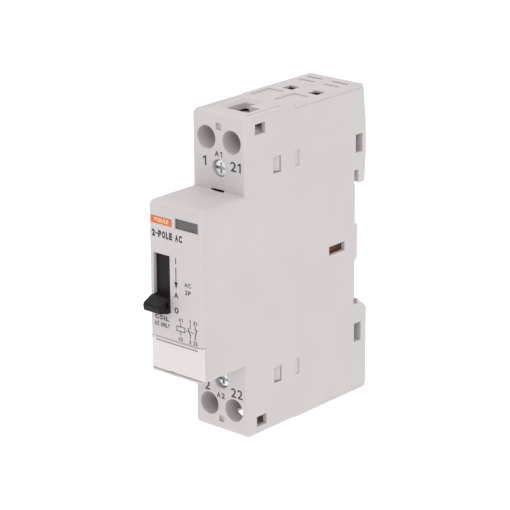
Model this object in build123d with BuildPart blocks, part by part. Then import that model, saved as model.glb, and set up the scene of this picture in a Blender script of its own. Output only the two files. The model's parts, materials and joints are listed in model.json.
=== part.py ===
"""One-module DIN rail contactor with a manual selector lever.

Frame: X across the module, -Y towards the front, +Z up. Y = 0 is the face that rests on the
rail, and Z = 0 is the rail's centre line. All lengths are in millimetres.
"""
import os
from math import cos, radians, sin

from build123d import *

os.makedirs("parts", exist_ok=True)

# --- Envelope -----------------------------------------------------------------------------
MODULE_WIDTH = 17.5
HEIGHT = 85.0
BLOCK_HEIGHT = 45.0            # raised front block that shows through a panel's cut-out
FRONT_Y = -60.0
SHOULDER_Y = -43.5
PARTING_Y = -24.3              # joint between the front and the rear shell
REAR_Y = 5.0
SIDE_WALL = 1.2
END_WALL = 1.2
FRONT_WALL = 1.0
REAR_WALL = 1.4
OUTER_RADIUS = 1.5
CHIN_RADIUS = 0.2              # lower front edge, just under the label cover
SIDE_RADIUS = 0.7
SAME = 0.01                    # two places closer than this are the same

HALF_WIDTH = MODULE_WIDTH / 2
HALF_HEIGHT = HEIGHT / 2
HALF_BLOCK = BLOCK_HEIGHT / 2
INNER_X = HALF_WIDTH - SIDE_WALL
INNER_Z = HALF_HEIGHT - END_WALL
INNER_BLOCK_Z = HALF_BLOCK - END_WALL
INNER_FRONT_Y = FRONT_Y + FRONT_WALL
ENDS = (1, -1)                 # upper and lower end of the module
SIDES = (-1, 1)                # left and right column

# --- Terminals ----------------------------------------------------------------------------
POLE_X = 4.2
TUNNEL_Z = 35.75
TUNNEL_RADIUS = 3.0
TUNNEL_WALL = 0.45
COIL_SCREW_Z = 28.3
COIL_WELL_RADIUS = 2.3
COIL_WELL_WALL = 0.6
COIL_WELL_END_Y = -41.0
COIL_HEAD_RADIUS = 2.2
WIRE_Y = -10.8
POWER_HEAD_RADIUS = 2.6
POWER_SHANK_RADIUS = 1.75
THREAD_CLEARANCE = 0.05
POWER_NAMES = {(-1, 1): "1", (1, 1): "21", (-1, -1): "2", (1, -1): "22"}
COIL_NAMES = {1: "A1", -1: "A2"}

# --- Contacts and carrier -----------------------------------------------------------------
STROKE = 3.0
TOUCH_GAP = 0.05
TIP_THICKNESS = 0.7
TIP_RADIUS = 1.4
TIP_Z = 9.4
STRIP_WIDTH = 4.4
STRIP_THICKNESS = 1.0
STRIP_RUN_Z = 24.1
CONTACT_Y = -38.0              # plane in which the tips of both poles meet
BRIDGE_THICKNESS = 0.8
BRIDGE_HALF_LENGTH = 11.4
WEB_HALF = 0.7
STRUT_X = 6.85
STRUT_THICKNESS = 0.5
BAR_HALF_Z = 2.5
OVERTRAVEL = 0.7

# --- Magnet -------------------------------------------------------------------------------
CORE_HALF_X = 3.2
CORE_HALF_Z = 12.0
CORE_BACK = 2.6
LEG_END_Y = -18.95
ARMATURE_THICKNESS = 4.0
ARMATURE_Y = LEG_END_Y - STROKE - TOUCH_GAP   # the face that meets the core

# --- Front controls -----------------------------------------------------------------------
LEVER_SLOT_X = (-7.4, -1.9)
LEVER_SLOT_Z = (-6.1, 9.1)
LEVER_TRAVEL = 10.8
WINDOW_X = (0.1, 7.8)
WINDOW_Z = (16.7, 19.4)
BADGE_X = (-8.05, -1.0)
BADGE_Z = (16.8, 18.8)
LABEL_TOP_Z = -12.9
LABEL_BOTTOM_Z = -22.0
LABEL_AXIS_Y = -59.4
LABEL_AXIS_Z = -13.6
LABEL_BARREL = 0.55
LABEL_FLOOR_Y = -58.8
LABEL_PIN_RADIUS = 0.3
LABEL_PIN_HALF = 8.3
KNUCKLE_HALF = 7.0
FLAG_AXIS_Y = -54.55
FLAG_AXIS_Z = 16.9
FLAG_RADIUS = 4.2
FLAG_SWING = 38.0
FLAG_PIN_RADIUS = 0.6


def write(piece, name):
    """Label a finished piece and write it as its own STEP file."""
    piece.part.label = name
    export_step(piece.part, f"parts/{name}.step")


def block(x_span, y_span, z_span, mode=Mode.ADD):
    """A rectangular block between two values on each axis."""
    spans = (x_span, y_span, z_span)
    centre = tuple((low + high) / 2 for low, high in spans)
    with Locations(centre):
        Box(*(abs(high - low) for low, high in spans), mode=mode)


def both_signs(low, high, sign):
    """The span low..high on the side of zero that sign names."""
    return tuple(sorted((sign * low, sign * high)))


def front_plane(y):
    """The plane across the module at y, which faces the front."""
    return Plane.XZ.offset(-y)


def round_bar(x, z, radius, y_span, mode=Mode.ADD):
    """A cylinder along Y between two values."""
    low, high = sorted(y_span)
    with BuildSketch(front_plane(high)) as section:
        with Locations((x, z)):
            Circle(radius)
    extrude(section.sketch, amount=high - low, mode=mode)


def cross_bar(y, z, radius, x_span, mode=Mode.ADD):
    """A cylinder along X between two values."""
    low, high = sorted(x_span)
    with BuildSketch(Plane.YZ.offset(low)) as section:
        with Locations((y, z)):
            Circle(radius)
    extrude(section.sketch, amount=high - low, mode=mode)


def side_profile(points, x_span, mode=Mode.ADD):
    """A closed outline in the YZ plane, drawn out between two X values."""
    low, high = sorted(x_span)
    with BuildSketch(Plane.YZ.offset(low)) as section:
        with BuildLine():
            Polyline(*points, close=True)
        make_face()
    extrude(section.sketch, amount=high - low, mode=mode)


def strip(points, corner_radius, thickness, x_span):
    """Flat bar stock, bent along a path in the YZ plane."""
    low, high = sorted(x_span)
    with BuildSketch(Plane.YZ.offset(low)) as section:
        with BuildLine():
            path = FilletPolyline(*points, radius=corner_radius)
        trace(path, line_width=thickness)
    extrude(section.sketch, amount=high - low)


# --- Front shell --------------------------------------------------------------------------
SNAP_Y = (-32.8, -29.8)
SNAP_Z = (26.1, 30.4)
TOP_MARK_X = 0.9
TOP_MARK_Z = (38.3, 40.0)
TOP_MARK_DEPTH = 0.7
FOOT_SLOT_X = (-2.6, 1.7)      # narrow slot at the foot of each shoulder
FOOT_SLOT_RISE = 0.35
FOOT_SLOT_Y = SHOULDER_Y - 0.5
SIDE_HOLE_Y = (-39.7, -35.9)
SIDE_HOLE_Z = (37.6, 40.4)
POCKET_OUTER = (5.2, -38.2, -27.6)   # half width, front and rear of the wire funnel's mouth
POCKET_INNER = (4.2, -36.2, -28.6)   # and of the chute behind it
POCKET_DEPTH = 0.9
POCKET_STOP_X = 1.4            # the rear right quarter of the mouth is closed
POCKET_STOP_Y = -33.4
CHUTE_WALL = 0.7
CHUTE_END_Z = 40.0
PASSAGE_HALF = 2.3             # half the gap that the coil wires pass through
PASSAGE_END_Z = 31.0
ROOM_HALF = 5.2                # the room behind each pocket, which both tunnels open into
ROOM_FRONT_Y = -39.3
ROOM_Z = 37.4
MOUTH_RADIUS = 0.25            # rounding round the tunnels and wells
INSERT_LINE_X = (6.6, 6.85)    # edge lines of the terminal insert
INSERT_LINE_Y = (-40.4, -27.5)
INSERT_LINE_DEPTH = 0.3
BADGE_DEPTH = 0.4
FIELD_WALL = 0.9               # wall behind the marking field
FIELD_LIP = 0.6                # and how far it reaches above the field


def outer_side_edges(piece, open_y):
    """The edges round both flat sides, without those on the open end at open_y."""
    sides = piece.faces().filter_by(Axis.X).group_by(Axis.X)
    edges = sides[0].edges() + sides[-1].edges()
    return edges.filter_by(lambda edge: abs(edge.center().Y - open_y) > SAME)


with BuildPart() as front_housing:
    with BuildSketch(Plane.YZ.offset(-HALF_WIDTH)):
        with BuildLine():
            Polyline(
                (PARTING_Y, -HALF_HEIGHT),
                (SHOULDER_Y, -HALF_HEIGHT),
                (SHOULDER_Y, -HALF_BLOCK),
                (FRONT_Y, -HALF_BLOCK),
                (FRONT_Y, HALF_BLOCK),
                (SHOULDER_Y, HALF_BLOCK),
                (SHOULDER_Y, HALF_HEIGHT),
                (PARTING_Y, HALF_HEIGHT),
                close=True,
            )
        outline = make_face()
        # In the sketch's own axes X runs to the rear and Y runs up
        ends = outline.vertices().filter_by(
            lambda v: abs(v.X - SHOULDER_Y) < SAME and abs(abs(v.Y) - HALF_HEIGHT) < SAME)
        front = outline.vertices().filter_by(lambda v: abs(v.X - FRONT_Y) < SAME).sort_by(Axis.Y)
        fillet(ends + front[1:], OUTER_RADIUS)
        fillet(front[0], CHIN_RADIUS)
    extrude(amount=MODULE_WIDTH)
    fillet(outer_side_edges(front_housing, PARTING_Y), SIDE_RADIUS)
    # Hollow inside: a deep room behind the shoulders and one in the raised block
    block((-INNER_X, INNER_X), (SHOULDER_Y + END_WALL, PARTING_Y), (-INNER_Z, INNER_Z),
          mode=Mode.SUBTRACT)
    block((-INNER_X, INNER_X), (INNER_FRONT_Y, SHOULDER_Y + END_WALL),
          (-INNER_BLOCK_Z, INNER_BLOCK_Z), mode=Mode.SUBTRACT)
    # Screwdriver tunnels and the wells of the coil screws
    for end in ENDS:
        for side in SIDES:
            round_bar(side * POLE_X, end * TUNNEL_Z, TUNNEL_RADIUS + TUNNEL_WALL,
                      (SHOULDER_Y + END_WALL, PARTING_Y))
        round_bar(0, end * COIL_SCREW_Z, COIL_WELL_RADIUS + COIL_WELL_WALL,
                  (SHOULDER_Y + END_WALL, COIL_WELL_END_Y))
        # Chute for the coil wires behind the end wall, open towards the front
        block((-POCKET_INNER[0] - CHUTE_WALL, POCKET_INNER[0] + CHUTE_WALL),
              (POCKET_INNER[2], POCKET_INNER[2] + CHUTE_WALL),
              both_signs(CHUTE_END_Z, INNER_Z, end))
    for end in ENDS:
        for side in SIDES:
            round_bar(side * POLE_X, end * TUNNEL_Z, TUNNEL_RADIUS, (SHOULDER_Y, PARTING_Y),
                      mode=Mode.SUBTRACT)
        round_bar(0, end * COIL_SCREW_Z, COIL_WELL_RADIUS, (SHOULDER_Y, COIL_WELL_END_Y),
                  mode=Mode.SUBTRACT)
        # Blind square mark and the narrow slot at the foot of the shoulder
        block((-TOP_MARK_X, TOP_MARK_X), (SHOULDER_Y, SHOULDER_Y + TOP_MARK_DEPTH),
              both_signs(*TOP_MARK_Z, end), mode=Mode.SUBTRACT)
        block(FOOT_SLOT_X, (FOOT_SLOT_Y, SHOULDER_Y + END_WALL),
              both_signs(HALF_BLOCK - END_WALL, HALF_BLOCK + FOOT_SLOT_RISE, end),
              mode=Mode.SUBTRACT)
        # Funnel and opening for the coil wires
        with BuildSketch(Plane.XY.offset(end * HALF_HEIGHT)):
            with Locations((0, (POCKET_OUTER[1] + POCKET_OUTER[2]) / 2)):
                Rectangle(2 * POCKET_OUTER[0], POCKET_OUTER[2] - POCKET_OUTER[1])
        with BuildSketch(Plane.XY.offset(end * (HALF_HEIGHT - POCKET_DEPTH))):
            with Locations((0, (POCKET_INNER[1] + POCKET_INNER[2]) / 2)):
                Rectangle(2 * POCKET_INNER[0], POCKET_INNER[2] - POCKET_INNER[1])
        loft(mode=Mode.SUBTRACT)
        block((-POCKET_INNER[0], POCKET_INNER[0]), POCKET_INNER[1:],
              both_signs(INNER_Z, HALF_HEIGHT - POCKET_DEPTH, end), mode=Mode.SUBTRACT)
        # The wire passes between the two tunnels, whose inner walls are open here
        block((-PASSAGE_HALF, PASSAGE_HALF), POCKET_INNER[1:],
              both_signs(PASSAGE_END_Z, INNER_Z, end), mode=Mode.SUBTRACT)
        # and both tunnels are open to the pocket behind the end wall
        block((-ROOM_HALF, ROOM_HALF), (ROOM_FRONT_Y, POCKET_INNER[2]),
              both_signs(ROOM_Z, INNER_Z, end), mode=Mode.SUBTRACT)
        block((POCKET_STOP_X, POCKET_OUTER[0]), (POCKET_STOP_Y, POCKET_OUTER[2]),
              both_signs(CHUTE_END_Z, HALF_HEIGHT, end))
        for side in SIDES:
            # Side walls of the chute
            block(both_signs(POCKET_INNER[0], POCKET_INNER[0] + CHUTE_WALL, side),
                  (POCKET_INNER[1], POCKET_INNER[2] + CHUTE_WALL),
                  both_signs(CHUTE_END_Z, INNER_Z, end))
            block(both_signs(*INSERT_LINE_X, side), INSERT_LINE_Y,
                  both_signs(HALF_HEIGHT - INSERT_LINE_DEPTH, HALF_HEIGHT, end),
                  mode=Mode.SUBTRACT)
            # Square holes and snap windows in the sides
            block(both_signs(INNER_X, HALF_WIDTH, side), SIDE_HOLE_Y,
                  both_signs(*SIDE_HOLE_Z, end), mode=Mode.SUBTRACT)
            block(both_signs(INNER_X, HALF_WIDTH, side), SNAP_Y, both_signs(*SNAP_Z, end),
                  mode=Mode.SUBTRACT)
    mouths = front_housing.edges().filter_by(GeomType.CIRCLE).filter_by(
        lambda e: abs(e.center().Y - SHOULDER_Y) < SAME and e.radius > OUTER_RADIUS + SAME)
    fillet(mouths, MOUTH_RADIUS)
    # Front face: badge recess, window, lever slot
    block(BADGE_X, (FRONT_Y, FRONT_Y + BADGE_DEPTH), BADGE_Z, mode=Mode.SUBTRACT)
    block(WINDOW_X, (FRONT_Y, INNER_FRONT_Y), WINDOW_Z, mode=Mode.SUBTRACT)
    block(LEVER_SLOT_X, (FRONT_Y, INNER_FRONT_Y), LEVER_SLOT_Z, mode=Mode.SUBTRACT)
    # Marking field: a full-width recess with a floor behind it and one hinge knuckle
    block((-INNER_X, INNER_X), (INNER_FRONT_Y, LABEL_FLOOR_Y + FIELD_WALL),
          (-INNER_BLOCK_Z, LABEL_TOP_Z + FIELD_LIP))
    block((-HALF_WIDTH, HALF_WIDTH), (FRONT_Y, LABEL_FLOOR_Y), (LABEL_BOTTOM_Z, LABEL_TOP_Z),
          mode=Mode.SUBTRACT)
    knuckle = (-KNUCKLE_HALF, KNUCKLE_HALF)
    cross_bar(LABEL_AXIS_Y, LABEL_AXIS_Z, LABEL_BARREL, knuckle)
    block(knuckle, (LABEL_AXIS_Y, LABEL_FLOOR_Y),
          (LABEL_AXIS_Z - LABEL_BARREL, LABEL_AXIS_Z + LABEL_BARREL))
    cross_bar(LABEL_AXIS_Y, LABEL_AXIS_Z, LABEL_PIN_RADIUS, knuckle, mode=Mode.SUBTRACT)
    # Blind hole for the flag's pin
    cross_bar(FLAG_AXIS_Y, FLAG_AXIS_Z, FLAG_PIN_RADIUS, (INNER_X, INNER_X + SIDE_WALL / 2),
              mode=Mode.SUBTRACT)
write(front_housing, "front_housing")


# --- Rear shell ---------------------------------------------------------------------------
RAIL_SLOT_Y = 1.4              # how deep the rail's edges sit under the hook and the nose
RELIEF = 0.3                   # depth of the seat's relief under the hook and the nose
REAR_CORNER_RADIUS = 0.8
SHELF_Y = (-24.0, -23.0)       # shelf that the power screws' heads turn in
ROOM_WALL_Z = (28.6, 29.4)     # walls between the magnet's room and the terminals
ROOM_WALL_Y = -22.0
DIVIDER_HALF = 0.45            # half the wall between the two terminals of one end
POST_Y = -18.0                 # posts that the return springs stand on
POST_X = 2.6
POST_Z = (12.4, 16.8)
SHANK_GAP = 0.2
BAR_SLIT_HALF = 2.3            # slits that the contact bars pass through
BAR_SLIT_Y = (-14.4, -13.2)
FUNNEL_MOUTH = (6.4, 6.5)
FUNNEL_THROAT = (3.3, 3.9)
FUNNEL_DEPTH = 0.65
FIELD_X = (1.4, 6.8)           # shallow field in front of the wire funnels
FIELD_Y = (-24.1, -16.2)
FIELD_DEPTH = 0.35
END_SLOT_HALF = 2.6            # the two slots behind each wire funnel
DEEP_SLOT_Y = (-1.3, -0.4)
DEEP_SLOT_Z = 34.0
SHALLOW_SLOT_Y = (-4.7, -3.8)
SHALLOW_SLOT_DEPTH = 0.8
TONGUE_X = (6.75, 7.5)         # tongues that snap into the windows of the front shell
TONGUE_Y = (-32.9, -20.0)
TONGUE_Z = (26.3, 30.2)
BARB_X = 8.4
BARB_Y = (-32.5, -30.0)
PARTING_RECESS = (0.3, 1.6)    # depth and length of the recess at the parting line
BAND_DEPTH = 0.15
BAND_HEIGHT = 1.3
HOOK_HOLE_Y = (0.2, 3.0)       # holes right through the hook and the nose
HOOK_HOLE_Z = (24.2, 29.1)
NOSE_HOLE_Y = (0.0, 2.85)
NOSE_HOLE_Z = (-28.5, -23.3)
COIL_WINDOW_Y = (-10.6, -4.2)  # window over the coil
COIL_WINDOW_Z = (-1.4, 1.1)
CORED_HALF = 5.5               # cored-out backs of the two rear blocks
CORED_LOW = (2.6, (-39.5, -31.5))
CORED_HIGH = (2.0, (31.5, 39.0))

with BuildPart() as base_housing:
    side_profile(
        [
            (PARTING_Y, -HALF_HEIGHT),
            (REAR_Y, -HALF_HEIGHT),
            (REAR_Y, -19.6),
            (4.6, -19.0),
            (RAIL_SLOT_Y, -16.4),
            (RAIL_SLOT_Y, -17.7),
            (-RELIEF, -17.7),
            (-RELIEF, -16.2),
            (0, -16.2),
            (0, -5.2),
            (1.0, -4.6),
            (1.0, 4.6),
            (0, 5.2),
            (0, 15.6),
            (-RELIEF, 15.6),
            (-RELIEF, 19.5),
            (RAIL_SLOT_Y, 19.5),
            (RAIL_SLOT_Y, 16.3),
            (1.8, 15.8),
            (3.6, 15.8),
            (3.9, 16.2),
            (4.5, 25.0),
            (4.3, 32.0),
            (3.1, HALF_HEIGHT),
            (PARTING_Y, HALF_HEIGHT),
        ],
        (-HALF_WIDTH, HALF_WIDTH),
    )
    fillet(base_housing.edges().filter_by(Axis.X).filter_by(
        lambda e: e.center().Y > RAIL_SLOT_Y and abs(e.center().Z) > INNER_Z),
        REAR_CORNER_RADIUS)
    # One room for the magnet and one for each terminal
    block((-INNER_X, INNER_X), (PARTING_Y, -REAR_WALL), (-INNER_Z, INNER_Z), mode=Mode.SUBTRACT)
    for end in ENDS:
        block((-INNER_X, INNER_X), (ROOM_WALL_Y, -REAR_WALL), both_signs(*ROOM_WALL_Z, end))
        block((-DIVIDER_HALF, DIVIDER_HALF), (SHELF_Y[0], -REAR_WALL),
              both_signs(ROOM_WALL_Z[0], INNER_Z, end))
        block((-INNER_X, INNER_X), SHELF_Y, both_signs(ROOM_WALL_Z[0], INNER_Z, end))
        block((-POST_X, POST_X), (POST_Y, -REAR_WALL), both_signs(*POST_Z, end))
        for side in SIDES:
            x = side * POLE_X
            round_bar(x, end * TUNNEL_Z, POWER_SHANK_RADIUS + SHANK_GAP, SHELF_Y,
                      mode=Mode.SUBTRACT)
            block((x - BAR_SLIT_HALF, x + BAR_SLIT_HALF), BAR_SLIT_Y,
                  both_signs(*ROOM_WALL_Z, end), mode=Mode.SUBTRACT)
            # Square wire funnels
            for depth, mouth in ((0, FUNNEL_MOUTH), (FUNNEL_DEPTH, FUNNEL_THROAT)):
                with BuildSketch(Plane.XY.offset(end * (HALF_HEIGHT - depth))):
                    with Locations((x, WIRE_Y)):
                        Rectangle(*mouth)
            loft(mode=Mode.SUBTRACT)
            block((x - FUNNEL_THROAT[0] / 2, x + FUNNEL_THROAT[0] / 2),
                  (WIRE_Y - FUNNEL_THROAT[1] / 2, WIRE_Y + FUNNEL_THROAT[1] / 2),
                  both_signs(INNER_Z, HALF_HEIGHT - FUNNEL_DEPTH, end), mode=Mode.SUBTRACT)
            # Shallow field in front of the funnels, and the two slots behind them
            block(both_signs(*FIELD_X, side), FIELD_Y,
                  both_signs(HALF_HEIGHT - FIELD_DEPTH, HALF_HEIGHT, end), mode=Mode.SUBTRACT)
            block((x - END_SLOT_HALF, x + END_SLOT_HALF), DEEP_SLOT_Y,
                  both_signs(DEEP_SLOT_Z, HALF_HEIGHT, end), mode=Mode.SUBTRACT)
            block((x - END_SLOT_HALF, x + END_SLOT_HALF), SHALLOW_SLOT_Y,
                  both_signs(HALF_HEIGHT - SHALLOW_SLOT_DEPTH, HALF_HEIGHT, end),
                  mode=Mode.SUBTRACT)
            # Snap tongue with its barb
            block(both_signs(*TONGUE_X, side), TONGUE_Y, both_signs(*TONGUE_Z, end))
            with BuildSketch(Plane.XY.offset(min(both_signs(*TONGUE_Z, end)))):
                with BuildLine():
                    Polyline((side * TONGUE_X[1], BARB_Y[0]), (side * TONGUE_X[1], BARB_Y[1]),
                             (side * BARB_X, BARB_Y[1]), close=True)
                make_face()
            extrude(amount=TONGUE_Z[1] - TONGUE_Z[0])
            # Shallow recess at the parting line and the stepped-back band at the end
            block(both_signs(HALF_WIDTH - PARTING_RECESS[0], HALF_WIDTH, side),
                  (PARTING_Y, PARTING_Y + PARTING_RECESS[1]), both_signs(*SNAP_Z, end),
                  mode=Mode.SUBTRACT)
            block(both_signs(HALF_WIDTH - BAND_DEPTH, HALF_WIDTH, side), (PARTING_Y, REAR_Y),
                  both_signs(HALF_HEIGHT - BAND_HEIGHT, HALF_HEIGHT, end), mode=Mode.SUBTRACT)
    block((-HALF_WIDTH, HALF_WIDTH), HOOK_HOLE_Y, HOOK_HOLE_Z, mode=Mode.SUBTRACT)
    block((-HALF_WIDTH, HALF_WIDTH), NOSE_HOLE_Y, NOSE_HOLE_Z, mode=Mode.SUBTRACT)
    block((INNER_X, HALF_WIDTH), COIL_WINDOW_Y, COIL_WINDOW_Z, mode=Mode.SUBTRACT)
    for floor_y, z_span in (CORED_LOW, CORED_HIGH):
        block((-CORED_HALF, CORED_HALF), (floor_y, REAR_Y), z_span, mode=Mode.SUBTRACT)
write(base_housing, "base_housing")


# --- Front furniture ----------------------------------------------------------------------
FIT = 0.03                     # gap round an inlaid piece
LENS_RECESS = 0.3
COVER_HALF = HALF_WIDTH - FIT
COVER_Z = (LABEL_BOTTOM_Z + 2 * FIT, LABEL_AXIS_Z)
COVER_Y = (LABEL_AXIS_Y - LABEL_BARREL, LABEL_AXIS_Y + LABEL_BARREL - 0.02)
COVER_RADIUS = 0.5
HINGE_GAP = 0.05
CARD_BED_X = 7.7
CARD_BED_Y = -59.2
CARD_BED_Z = (-21.4, -14.8)
CARD_THICKNESS = 0.2
NOTCH_X = (-2.2, -0.6)         # notch for a fingernail
NOTCH_SIZE = 0.5

with BuildPart() as badge_plate:
    block((BADGE_X[0] + FIT, BADGE_X[1] - FIT), (FRONT_Y, FRONT_Y + BADGE_DEPTH),
          (BADGE_Z[0] + FIT, BADGE_Z[1] - FIT))
write(badge_plate, "badge_plate")

with BuildPart() as indicator_window:
    block((WINDOW_X[0] + FIT, WINDOW_X[1] - FIT), (FRONT_Y + LENS_RECESS, INNER_FRONT_Y),
          (WINDOW_Z[0] + FIT, WINDOW_Z[1] - FIT))
write(indicator_window, "indicator_window")

with BuildPart() as label_cover:
    block((-COVER_HALF, COVER_HALF), COVER_Y, COVER_Z)
    front_edges = label_cover.faces().sort_by(Axis.Y)[0].edges()
    fillet(front_edges.sort_by(Axis.Z)[:-1], COVER_RADIUS)
    cross_bar(LABEL_AXIS_Y, LABEL_AXIS_Z, LABEL_BARREL, (-COVER_HALF, COVER_HALF))
    # Gap round the housing's knuckle, bore for the pin, bed of the card, fingernail notch
    block((-KNUCKLE_HALF - HINGE_GAP, KNUCKLE_HALF + HINGE_GAP), (FRONT_Y, LABEL_FLOOR_Y),
          (LABEL_AXIS_Z - LABEL_BARREL - HINGE_GAP, LABEL_TOP_Z), mode=Mode.SUBTRACT)
    cross_bar(LABEL_AXIS_Y, LABEL_AXIS_Z, LABEL_PIN_RADIUS + HINGE_GAP,
              (-LABEL_PIN_HALF - HINGE_GAP, LABEL_PIN_HALF + HINGE_GAP), mode=Mode.SUBTRACT)
    block((-CARD_BED_X, CARD_BED_X), (CARD_BED_Y, LABEL_FLOOR_Y), CARD_BED_Z, mode=Mode.SUBTRACT)
    block(NOTCH_X, (FRONT_Y, FRONT_Y + NOTCH_SIZE),
          (LABEL_BOTTOM_Z, LABEL_BOTTOM_Z + NOTCH_SIZE), mode=Mode.SUBTRACT)
write(label_cover, "label_cover")

with BuildPart() as label_card:
    block((-CARD_BED_X + 2 * FIT, CARD_BED_X - 2 * FIT), (CARD_BED_Y, CARD_BED_Y + CARD_THICKNESS),
          (CARD_BED_Z[0] + 2 * FIT, CARD_BED_Z[1] - 2 * FIT))
write(label_card, "label_card")

with BuildPart() as label_pin:
    cross_bar(LABEL_AXIS_Y, LABEL_AXIS_Z, LABEL_PIN_RADIUS, (-LABEL_PIN_HALF, LABEL_PIN_HALF))
write(label_pin, "label_pin")

# --- Selector lever -----------------------------------------------------------------------
PLATE_X = (-7.35, -1.35)
PLATE_Y = (-58.95, -58.15)
PLATE_Z = (-11.9, 9.95)
KNOB_X = (-7.3, -2.0)
KNOB_FRONT_Y = -64.2
KNOB_Z = (-5.95, -1.8)
KNOB_RADIUS = 0.25
GRIP_DEPTH = 0.7               # hollow in the knob's right flank
GRIP_Y = (-61.9, -60.5)
GRIP_Z = (-4.6, -2.9)
PIN_X = (-5.0, -4.0)           # driving pin behind the plate
PIN_Z = (-4.4, -3.4)
PIN_END_Y = -56.6
GUIDE_X = (-7.45, -1.3)
GUIDE_Y = (-58.1, -57.5)
GUIDE_Z = (-12.2, 21.1)
GUIDE_GAP = 0.3
GUIDE_SLOT_Z = (PIN_Z[0] - 2 * GUIDE_GAP, PIN_Z[1] + LEVER_TRAVEL + 2 * GUIDE_GAP)
DETENT_LOW_Y = -57.35          # ends of the detent strip, which lie on the guide
DETENT_TOP_Y = -56.5           # tops of its three humps
DETENT_DIP_Y = -57.2           # and the dips between them
DETENT_X = (-7.3, -5.6)
DETENT_RADIUS = 0.6
DETENT_THICKNESS = 0.2

with BuildPart() as manual_lever:
    block(PLATE_X, PLATE_Y, PLATE_Z)
    side_profile(
        [
            (PLATE_Y[1], KNOB_Z[1]),
            (KNOB_FRONT_Y + 3.0, KNOB_Z[1]),
            (KNOB_FRONT_Y + 0.3, KNOB_Z[1] - 1.3),
            (KNOB_FRONT_Y, KNOB_Z[1] - 2.0),
            (KNOB_FRONT_Y + 0.3, KNOB_Z[0] + 0.75),
            (KNOB_FRONT_Y + 3.2, KNOB_Z[0]),
            (PLATE_Y[1], KNOB_Z[0]),
        ],
        KNOB_X,
    )
    nose = manual_lever.edges().filter_by(Axis.X).filter_by(
        lambda e: e.center().Y < FRONT_Y - SAME)
    fillet(nose, KNOB_RADIUS)
    block((KNOB_X[1] - GRIP_DEPTH, KNOB_X[1]), GRIP_Y, GRIP_Z, mode=Mode.SUBTRACT)
    block(PIN_X, (PLATE_Y[1], PIN_END_Y), PIN_Z)
write(manual_lever, "manual_lever")

with BuildPart() as lever_guide:
    block(GUIDE_X, GUIDE_Y, GUIDE_Z)
    block((PIN_X[0] - GUIDE_GAP, PIN_X[1] + GUIDE_GAP), GUIDE_Y, GUIDE_SLOT_Z, mode=Mode.SUBTRACT)
write(lever_guide, "lever_guide")

with BuildPart() as lever_detent:
    strip(
        [
            (DETENT_LOW_Y, -10.0),
            (DETENT_LOW_Y, -6.0),
            (DETENT_TOP_Y, -4.4),
            (DETENT_DIP_Y, -2.0),
            (DETENT_TOP_Y, 0.2),
            (DETENT_DIP_Y, 2.6),
            (DETENT_DIP_Y, 5.4),
            (DETENT_TOP_Y, 7.2),
            (DETENT_LOW_Y, 9.2),
            (DETENT_LOW_Y, 13.0),
        ],
        DETENT_RADIUS, DETENT_THICKNESS, DETENT_X,
    )
write(lever_detent, "lever_detent")

# --- Indicator flag -----------------------------------------------------------------------
ARM_RADIUS = STROKE / 2 / sin(radians(FLAG_SWING / 2))
ARM_END_Y = FLAG_AXIS_Y - STROKE / 2
ARM_END_Z = FLAG_AXIS_Z - ARM_RADIUS * cos(radians(FLAG_SWING / 2))
ARM_TIP_RADIUS = 0.5
ARM_HALF = 0.45
ARM_WIDTH = 1.0
FLAG_X = (0.9, 7.2)
DRUM_WALL = 0.7
DRUM_START = 100               # degrees from the rearward axis, and the angle it spans
DRUM_SPAN = 85
HUB_RADIUS = 1.2
SPOKE_WIDTH = 0.8


def on_drum(radius, angle):
    """A point at a radius and an angle round the flag's pin."""
    return (FLAG_AXIS_Y + radius * cos(radians(angle)), FLAG_AXIS_Z + radius * sin(radians(angle)))


def flag_outline():
    """The drum's sector in front of the pin, from just below level to straight up."""
    inner = FLAG_RADIUS - DRUM_WALL
    with BuildSketch(Plane.YZ.offset(FLAG_X[0])) as section:
        with BuildLine():
            for radius in (FLAG_RADIUS, inner):
                CenterArc((FLAG_AXIS_Y, FLAG_AXIS_Z), radius, DRUM_START, DRUM_SPAN)
            for angle in (DRUM_START, DRUM_START + DRUM_SPAN):
                Line(on_drum(inner, angle), on_drum(FLAG_RADIUS, angle))
        make_face()
    return section.sketch


with BuildPart() as indicator_flag:
    extrude(flag_outline(), amount=FLAG_X[1] - FLAG_X[0])
    cross_bar(FLAG_AXIS_Y, FLAG_AXIS_Z, HUB_RADIUS, FLAG_X)
    # Spokes at both ends of the drum
    for start in (FLAG_X[0], FLAG_X[1] - SPOKE_WIDTH):
        side_profile(
            [
                (FLAG_AXIS_Y - HUB_RADIUS / 2, FLAG_AXIS_Z),
                (FLAG_AXIS_Y - FLAG_RADIUS + 0.4, FLAG_AXIS_Z),
                (FLAG_AXIS_Y - FLAG_RADIUS + 0.9, FLAG_AXIS_Z + 1.8),
                (FLAG_AXIS_Y, FLAG_AXIS_Z + 0.8),
            ],
            (start, start + SPOKE_WIDTH),
        )
    # Arm down to the carrier's finger
    arm_x = (FLAG_X[0], FLAG_X[0] + ARM_WIDTH)
    side_profile(
        [
            (FLAG_AXIS_Y - ARM_HALF, FLAG_AXIS_Z),
            (FLAG_AXIS_Y + ARM_HALF, FLAG_AXIS_Z),
            (ARM_END_Y + ARM_HALF, ARM_END_Z),
            (ARM_END_Y - ARM_HALF, ARM_END_Z),
        ],
        arm_x,
    )
    cross_bar(ARM_END_Y, ARM_END_Z, ARM_TIP_RADIUS, arm_x)
    cross_bar(FLAG_AXIS_Y, FLAG_AXIS_Z, FLAG_PIN_RADIUS + THREAD_CLEARANCE, FLAG_X,
              mode=Mode.SUBTRACT)
write(indicator_flag, "indicator_flag")

with BuildPart() as flag_pin:
    cross_bar(FLAG_AXIS_Y, FLAG_AXIS_Z, FLAG_PIN_RADIUS, (FLAG_X[0], INNER_X + SIDE_WALL / 2))
write(flag_pin, "flag_pin")

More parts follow.
